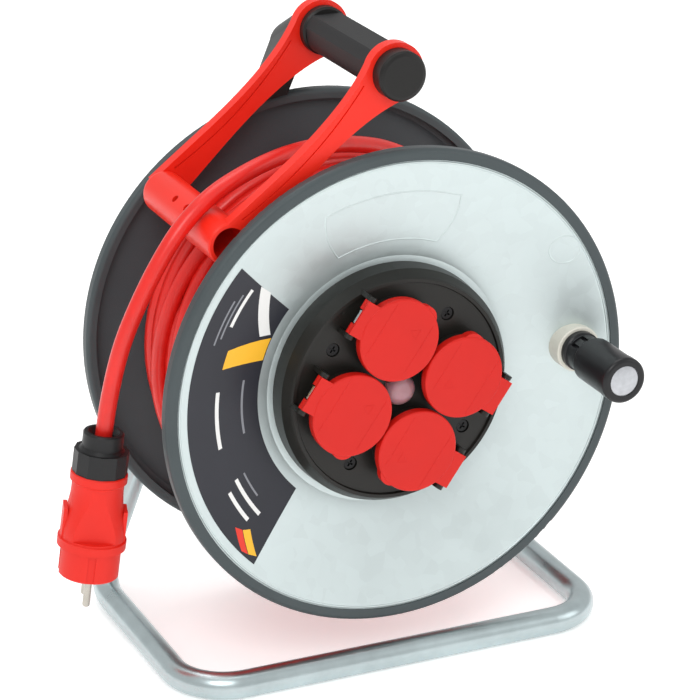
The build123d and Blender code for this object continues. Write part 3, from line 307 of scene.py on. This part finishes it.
# ------------------------------------------------------------------ small modelling helpers
def clear_selection():
    """Object mode with nothing selected."""
    if bpy.context.object and bpy.context.object.mode != "OBJECT":
        bpy.ops.object.mode_set(mode="OBJECT")
    bpy.ops.object.select_all(action="DESELECT")


def settle(piece, name, body, smooth=35):
    """Names a piece, puts its place in its mesh, and lets it ride on a body."""
    clear_selection()
    piece.select_set(True)
    bpy.context.view_layer.objects.active = piece
    if piece.type == "CURVE":
        bpy.ops.object.convert(target="MESH")
        piece = bpy.context.object
    bpy.ops.object.transform_apply(location=True, rotation=True, scale=True)
    bpy.ops.object.shade_smooth_by_angle(angle=radians(smooth))
    piece.name = name
    piece.data.name = name
    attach(piece, body)
    return piece


def paint(piece, finish):
    piece.data.materials.clear()
    piece.data.materials.append(finish)


def patch(name, corners, lift, finish, body="drum", slot="black_panel", steps=(24, 6)):
    """A thin printed patch on the dished disc between four (radius mm, degrees) corners, in order."""
    clear_selection()
    bpy.ops.mesh.primitive_grid_add(x_subdivisions=steps[0], y_subdivisions=steps[1], size=1)
    piece = bpy.context.object
    mesh = bmesh.new()
    mesh.from_mesh(piece.data)
    first, second, third, fourth = corners
    for vertex in mesh.verts:
        along, over = vertex.co.x + 0.5, vertex.co.y + 0.5
        radius = (first[0] * (1 - along) + second[0] * along) * (1 - over)
        radius += (fourth[0] * (1 - along) + third[0] * along) * over
        turn = (first[1] * (1 - along) + second[1] * along) * (1 - over)
        turn += (fourth[1] * (1 - along) + third[1] * along) * over
        vertex.co = on_disc(radius * MM, radians(turn), lift)
    bmesh.ops.recalc_face_normals(mesh, faces=mesh.faces)
    if mesh.faces[0].normal.y > 0:
        bmesh.ops.reverse_faces(mesh, faces=mesh.faces)
    mesh.to_mesh(piece.data)
    mesh.free()
    wall = piece.modifiers.new("Film", "SOLIDIFY")
    wall.thickness, wall.offset = lift * 0.8, -1
    bpy.ops.object.modifier_apply(modifier="Film")
    paint(piece, finish)
    return settle(piece, name, body)


def bead(name, points, radius, finish, body, slot, closed=True):
    """A half-sunk round bead along points."""
    line = bpy.data.curves.new(name, "CURVE")
    line.dimensions, line.bevel_depth, line.bevel_resolution = "3D", radius, 3
    spline = line.splines.new("POLY")
    spline.points.add(len(points) - 1)
    for point, co in zip(spline.points, points):
        point.co = (*co, 1)
    spline.use_cyclic_u = closed
    piece = bpy.data.objects.new(name, line)
    bpy.context.collection.objects.link(piece)
    line.materials.append(finish)
    return settle(piece, name, body, 60)


# ------------------------------------------------------------------ cable
TAIL = (
    (90.0, 125.0, 84.0),
    (63.6, 115.6, 111.6),
    (37.8, 105.3, 126.7),
    (11.3, 95.3, 135.6),
    (-15.0, 84.1, 141.3),
    (-40.5, 72.1, 144.3),
    (-65.2, 60.1, 144.0),
    (-89.4, 49.5, 140.3),
    (-112.6, 41.8, 132.8),
    (-133.1, 37.2, 118.0),
    (-149.3, 35.6, 96.5),
    (-162.6, 36.7, 71.6),
    (-173.4, 39.5, 44.9),
    (-179.9, 42.1, 17.4),
    (-184.3, 44.3, -9.0),
    (-187.8, 44.5, -35.0),
)
# each full layer of the winding: radius, and where its first and last turn lie behind the rim's face
LAYERS = (
    (71.5, 29.9, 125.1),
    (80.9, 125.1, 29.9),
    (90.3, 26.2, 128.8),
    (99.7, 131.6, 23.4),
    (108.9, 20.6, 134.4),
)
PITCH = 11.15
LOOSE_R, LOOSE_PITCH, LOOSE_TURNS = 117.8, 11.8, 5.6
GLAND = (250.0, 32.0)


def eased(share):
    share = min(1.0, max(0.0, share))
    return share * share * (3 - 2 * share)


def winding_points(per_turn):
    """Turns laid side by side in layers, then a few looser ones, then one that crosses back over them."""
    swell = 1 / (0.75 + 0.25 * cos(tau / per_turn))  # the spline runs inside its control points
    route = []
    turns = []
    for radius, start, end in LAYERS:
        turns.append((abs(end - start) / PITCH, radius, start, end))
        turns.append((0.5, radius, end, end))
    turns.append((LOOSE_TURNS, LOOSE_R, 134.0, 134.0 - LOOSE_TURNS * LOOSE_PITCH))
    last_behind = 134.0 - LOOSE_TURNS * LOOSE_PITCH
    total = sum(span[0] for span in turns)
    end_turn = degrees(atan2(TAIL[0][2], TAIL[0][0])) / 360
    start_turn = GLAND[0] / 360
    # the last turn ends where the free end starts
    crossing = 1 + (end_turn - start_turn - total) % 1
    steps = round((total + crossing) * per_turn)
    last = steps - 1
    for step in range(steps):
        gone = (total + crossing) * step / last
        turn = tau * (start_turn + gone)
        if gone < total:
            passed = 0.0
            for index, (count, radius, start, end) in enumerate(turns):
                if gone <= passed + count:
                    break
                passed += count
            share = (gone - passed) / count
            behind = start + (end - start) * share
            if count == 0.5:
                upper = turns[index + 1]
                radius += (upper[1] - radius) * eased(share)
                behind += (upper[2] - end) * eased(share)
            radius += 0.35 * sin(gone * 2.1) + 0.25 * sin(gone * 5.3)
            behind += 0.25 * sin(gone * 3.7)
            if index == len(turns) - 1:
                radius += 0.8 * sin(gone * 1.7)
                behind += 1.6 * sin(gone * 2.3)
        else:
            share = (gone - total) / crossing
            radius = LOOSE_R + 8.0 * eased(share * 3)
            rise = TAIL[0][1] + 7 - last_behind
            behind = last_behind + rise * eased(share / 0.86) - 7 * eased((share - 0.8) / 0.2)
            end_r = hypot(TAIL[0][0], TAIL[0][2])
            radius += (end_r / swell - radius) * eased((share - 0.75) / 0.25)
        route.append(place(radius * swell * cos(turn), behind, radius * swell * sin(turn)))
    first, second = Vector(place(*TAIL[0])), Vector(place(*TAIL[1]))
    route[-1] = first
    route[-2] = first + (first - second).normalized() * (route[-2] - first).length
    return route


def nurbs_cable(name, points, finish, sides, steps):
    line = bpy.data.curves.new(name, "CURVE")
    line.dimensions = "3D"
    line.bevel_depth = bpy.context.scene.reel_sizes.cable / 2
    line.bevel_resolution = sides
    line.resolution_u = steps
    line.use_fill_caps = True
    spline = line.splines.new("NURBS")
    spline.points.add(len(points) - 1)
    for point, co in zip(spline.points, points):
        point.co = (*co, 1)
    spline.order_u = 3
    spline.use_endpoint_u = True
    spline.resolution_u = steps
    line.materials.append(finish)
    piece = bpy.data.objects.new(name, line)
    bpy.context.collection.objects.link(piece)
    return piece


class REEL_OT_cable(bpy.types.Operator):
    """Winds the cable on the core and hangs its free end over the guide"""

    bl_idname = "reel.cable"
    bl_label = "Cable"

    def execute(self, context):
        sizes = context.scene.reel_sizes
        finish = finishes_made["red_cable"]
        route = winding_points(sizes.turn_points)
        wound = nurbs_cable("cable_winding", route, finish, 2, 4)
        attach(wound, "drum")
        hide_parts("cord_winding")
        points = [place(*point) for point in TAIL]
        tail = nurbs_cable("cable_free_end", points, finish, 5, 10)
        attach(tail, "stand")
        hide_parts("cord_tail")
        return {"FINISHED"}


# ------------------------------------------------------------------ printed label, plain shapes only
class REEL_OT_label(bpy.types.Operator):
    """Lays the printed label on the front disc"""

    bl_idname = "reel.label"
    bl_label = "Label"

    def execute(self, context):
        lift = context.scene.reel_sizes.label_lift
        # printed vinyl film: flat colour under a satin clear layer
        film = {
            "ink": moulded("Vinyl film, charcoal", context.scene.reel_colours.label, 0.36, 0.4, 0.02),
            "yellow": moulded("Vinyl film, yellow", linear("#F2B632"), 0.36, 0.4, 0.02, 0.02),
            "white": moulded("Vinyl film, white", linear("#E4E4E2"), 0.36, 0.4, 0.02, 0.02),
            "red": moulded("Vinyl film, red", linear("#E03A2C"), 0.36, 0.4, 0.02, 0.02),
            "grey": moulded("Vinyl film, grey", linear("#83858B"), 0.36, 0.4, 0.02, 0.02),
        }
        base = [(145.2, 138), (145.2, 225.8), (91.2, 224.7), (91.6, 139.6)]
        patch("label_base", base, lift, film["ink"], steps=(96, 10))
        marks = {
            "label_band": ("yellow", [(92.2, 152.9), (92.2, 162.3), (122.5, 166.0), (122.1, 160.1)]),
            "label_panel": ("white", [(94.0, 151.7), (113.1, 138.6), (122.8, 138.8), (101.6, 153.6)]),
            "label_stripe_red": ("red", [(143.9, 220.4), (142.6, 222.6), (134.2, 216.6), (136.6, 214.3)]),
            "label_stripe_yellow": ("yellow", [(142.4, 222.8), (140.2, 225.2), (130.2, 218.6),
                                               (134.0, 216.8)]),
            "label_bar_upper": ("white", [(126.0, 141.0), (126.0, 153.0), (128.4, 153.0), (128.4, 141.0)]),
            "label_bar_lower": ("grey", [(130.6, 143.5), (130.6, 157.0), (131.8, 157.0), (131.8, 143.5)]),
            "label_bar_third": ("grey", [(134.0, 146.0), (134.0, 159.0), (135.2, 159.0), (135.2, 146.0)]),
            "label_bar_middle": ("white", [(121.6, 173.0), (121.6, 191.0), (124.4, 191.0), (124.4, 173.0)]),
            "label_bar_inner": ("grey", [(103.0, 170.0), (103.0, 190.0), (104.6, 190.0), (104.6, 170.0)]),
            "label_bar_foot": ("white", [(126.0, 205.0), (126.0, 216.0), (128.6, 216.0), (128.6, 205.0)]),
            "label_bar_heel": ("white", [(118.0, 203.0), (118.0, 218.0), (120.6, 218.0), (120.6, 203.0)]),
            "label_bar_toe": ("grey", [(112.0, 203.0), (112.0, 213.0), (113.2, 213.0), (113.2, 203.0)]),
        }
        for name, (ink, corners) in marks.items():
            patch(name, corners, lift * 1.5, film[ink], steps=(20, 4))
        return {"FINISHED"}


# ------------------------------------------------------------------ beads pressed into the front disc
class REEL_OT_pressings(bpy.types.Operator):
    """Adds the beads pressed into the front disc"""

    bl_idname = "reel.pressings"
    bl_label = "Pressed beads"

    def execute(self, context):
        size = context.scene.reel_sizes.bead
        zinc = finishes_made["galvanised_sheet"]
        edge = [on_disc(151.0 * MM, tau * step / 180, -size * 0.2) for step in range(180)]
        bead("disc_edge_bead", edge, size * 0.9, zinc, "drum", "galvanised_sheet")
        # a plate outline with rounded ends, above the sockets
        outline = []
        inner_r, outer_r, first, second = 96.0, 130.5, 112.5, 70.5
        count = 24
        for step in range(count + 1):
            outline.append((outer_r, first + (second - first) * step / count))
        for step in range(1, 6):
            bend = sin(pi * step / 6)
            outline.append((outer_r + (inner_r - outer_r) * step / 6, second - 1.6 * bend))
        for step in range(count + 1):
            outline.append((inner_r, second + (first - second) * step / count))
        for step in range(1, 6):
            bend = sin(pi * step / 6)
            outline.append((inner_r + (outer_r - inner_r) * step / 6, first + 1.6 * bend))
        points = [on_disc(radius * MM, radians(turn), -size * 0.55) for radius, turn in outline]
        bead("disc_plate_bead", points, size * 0.9, zinc, "drum", "galvanised_sheet")
        middle = on_disc(hypot(117.4, 77.7) * MM, atan2(77.7, 117.4))
        ring = []
        for step in range(40):
            turn = tau * step / 40
            across = middle.x - AXLE.x + 10 * MM * cos(turn)
            up = middle.z - AXLE.z + 10 * MM * sin(turn)
            ring.append(on_disc(hypot(across, up), atan2(up, across), -size * 0.5))
        bead("disc_round_bead", ring, size * 0.8, zinc, "drum", "galvanised_sheet")
        return {"FINISHED"}


# ------------------------------------------------------------------ raised marks on the lids
LID_MARK_AHEAD, LID_MARK_SIDE, LID_MARK_R = 7 * MM, 9 * MM, 4.2 * MM


class REEL_OT_lid_marks(bpy.types.Operator):
    """Adds the fine raised lines moulded on each lid"""

    bl_idname = "reel.lid_marks"
    bl_label = "Lid marks"

    def execute(self, context):
        red = finishes_made["red_lid"]
        front = LID_FRONT + 0.05 * MM
        for number in range(4):
            turn = PANEL_TURN + number * pi / 2
            middle = Vector((AXLE.x + SOCKET_RING * cos(turn), front, AXLE.z + SOCKET_RING * sin(turn)))
            out = HINGE_TURNS[number]
            ahead, side = Vector((cos(out), 0, sin(out))), Vector((-sin(out), 0, cos(out)))
            for place_name, shift, half in (("hinge", 15.5, 20.0), ("far", -15.5, 18.0)):
                ends = [middle + ahead * shift * MM + side * half * MM * sign for sign in (-1, 1)]
                bead(f"lid_{number + 1}_line_{place_name}", ends, 0.22 * MM, red, f"lid_{number + 1}_body",
                     "red_lid", False)
            mark_middle = middle - ahead * LID_MARK_AHEAD - side * LID_MARK_SIDE
            turns = [tau * corner / 3 for corner in range(3)]
            triangle = [mark_middle + (ahead * cos(turn) + side * sin(turn)) * LID_MARK_R for turn in turns]
            bead(f"lid_{number + 1}_mark", triangle, 0.2 * MM, red, f"lid_{number + 1}_body", "red_lid")
        return {"FINISHED"}


# ------------------------------------------------------------------ finishes on the CAD's own pieces
finishes_made = {}


class REEL_OT_finishes(bpy.types.Operator):
    """Gives each CAD piece the material of its slot"""

    bl_idname = "reel.finishes"
    bl_label = "Finishes"

    def execute(self, context):
        finishes_made.update(finishes())
        for entry in frame["record"]["subparts"]:
            piece = frame["nodes"][entry["node"]]
            finish = finishes_made[entry["material_slot"]]
            if not piece.material_slots:
                piece.data.materials.append(finish)
            for slot in piece.material_slots:
                slot.material = finish
        return {"FINISHED"}


# ------------------------------------------------------------------ studio
class REEL_OT_stage(bpy.types.Operator):
    """Adds the floor, the soft lights and the camera"""

    bl_idname = "reel.stage"
    bl_label = "Studio"

    def execute(self, context):
        clear_selection()
        bpy.ops.mesh.primitive_plane_add(size=14, location=(0, 0, 0))
        floor = bpy.context.object
        floor.name = "studio_floor"
        paper, tree, where, output = start_material("Matt paper, white")
        tooth = add_node(tree, "ShaderNodeTexNoise", {"Scale": 1 / (3 * MM)}, {"Vector": where})
        tone = ramp_between(tree, tooth.outputs[0], linear("#F6F6F5"), linear("#FAFAFA"))
        shader = add_node(tree, "ShaderNodeBsdfPrincipled", {"Roughness": 0.9, "Specular IOR Level": 0.1,
                                                             "Emission Color": (1, 1, 1, 1),
                                                             "Emission Strength": 0.35},
                          {"Base Color": tone})
        tree.links.new(shader.outputs[0], output.inputs[0])
        paint(floor, paper)

        world = bpy.data.worlds.new("Studio")
        context.scene.world = world
        world.use_nodes = True
        world.node_tree.nodes["Background"].inputs[0].default_value = (1, 1, 1, 1)
        world.node_tree.nodes["Background"].inputs[1].default_value = 0.72

        target = Vector((0, 0, 0.2))
        for name, where_at, size, power in (
            ("key_softbox", (-1.2, -1.9, 2.1), 1.2, 27),
            ("fill_softbox", (2.1, -1.5, 1.3), 1.4, 9),
            ("top_softbox", (0.1, 0.5, 2.6), 1.6, 19),
        ):
            light = bpy.data.lights.new(name, "AREA")
            light.shape, light.size, light.energy = "SQUARE", size, power
            lamp = bpy.data.objects.new(name, light)
            lamp.location = where_at
            lamp.rotation_euler = (target - Vector(where_at)).to_track_quat("-Z", "Y").to_euler()
            context.collection.objects.link(lamp)

        eye = place(-744.0, -1543.1, 697.9)
        aim = Vector((0.3883, 0.8464, -0.3645)).normalized()
        right = aim.cross(Vector((0, 0, 1))).normalized()
        up = right.cross(aim)
        roll = radians(0.439)
        right_rolled = right * cos(roll) + up * sin(roll)
        up_rolled = right_rolled.cross(aim)
        lens = bpy.data.cameras.new("camera")
        lens.sensor_width, lens.lens = 36, 149.34
        lens.clip_start, lens.clip_end = 0.05, 50
        camera = bpy.data.objects.new("camera", lens)
        facing = Matrix((right_rolled, up_rolled, -aim)).transposed()
        camera.matrix_world = Matrix.Translation(eye) @ facing.to_4x4()
        context.collection.objects.link(camera)
        context.scene.camera = camera
        context.scene.view_settings.view_transform = "Standard"
        return {"FINISHED"}


class REEL_PT_panel(bpy.types.Panel):
    """Lists the reel's operators and settings"""

    bl_idname = "REEL_PT_panel"
    bl_label = "Cord reel"
    bl_space_type = "VIEW_3D"
    bl_region_type = "UI"
    bl_category = "Cord reel"

    def draw(self, context):
        for group in (context.scene.reel_sizes, context.scene.reel_colours):
            for key in group.bl_rna.properties.keys():
                if key not in ("rna_type", "name"):
                    self.layout.prop(group, key)
        for operator in OPERATORS:
            self.layout.operator(operator.bl_idname)


OPERATORS = (
    REEL_OT_stage,
    REEL_OT_finishes,
    REEL_OT_cable,
    REEL_OT_label,
    REEL_OT_pressings,
    REEL_OT_lid_marks,
)
CLASSES = (ReelSizes, ReelColours, *OPERATORS, REEL_PT_panel)


def register():
    for item in CLASSES:
        bpy.utils.register_class(item)
    bpy.types.Scene.reel_sizes = PointerProperty(type=ReelSizes)
    bpy.types.Scene.reel_colours = PointerProperty(type=ReelColours)


def unregister():
    del bpy.types.Scene.reel_colours
    del bpy.types.Scene.reel_sizes
    for item in reversed(CLASSES):
        bpy.utils.unregister_class(item)


def main():
    register()
    bpy.ops.reel.stage()
    bpy.ops.reel.finishes()
    bpy.ops.reel.cable()
    bpy.ops.reel.label()
    bpy.ops.reel.pressings()
    bpy.ops.reel.lid_marks()


if __name__ == "__main__":
    main()
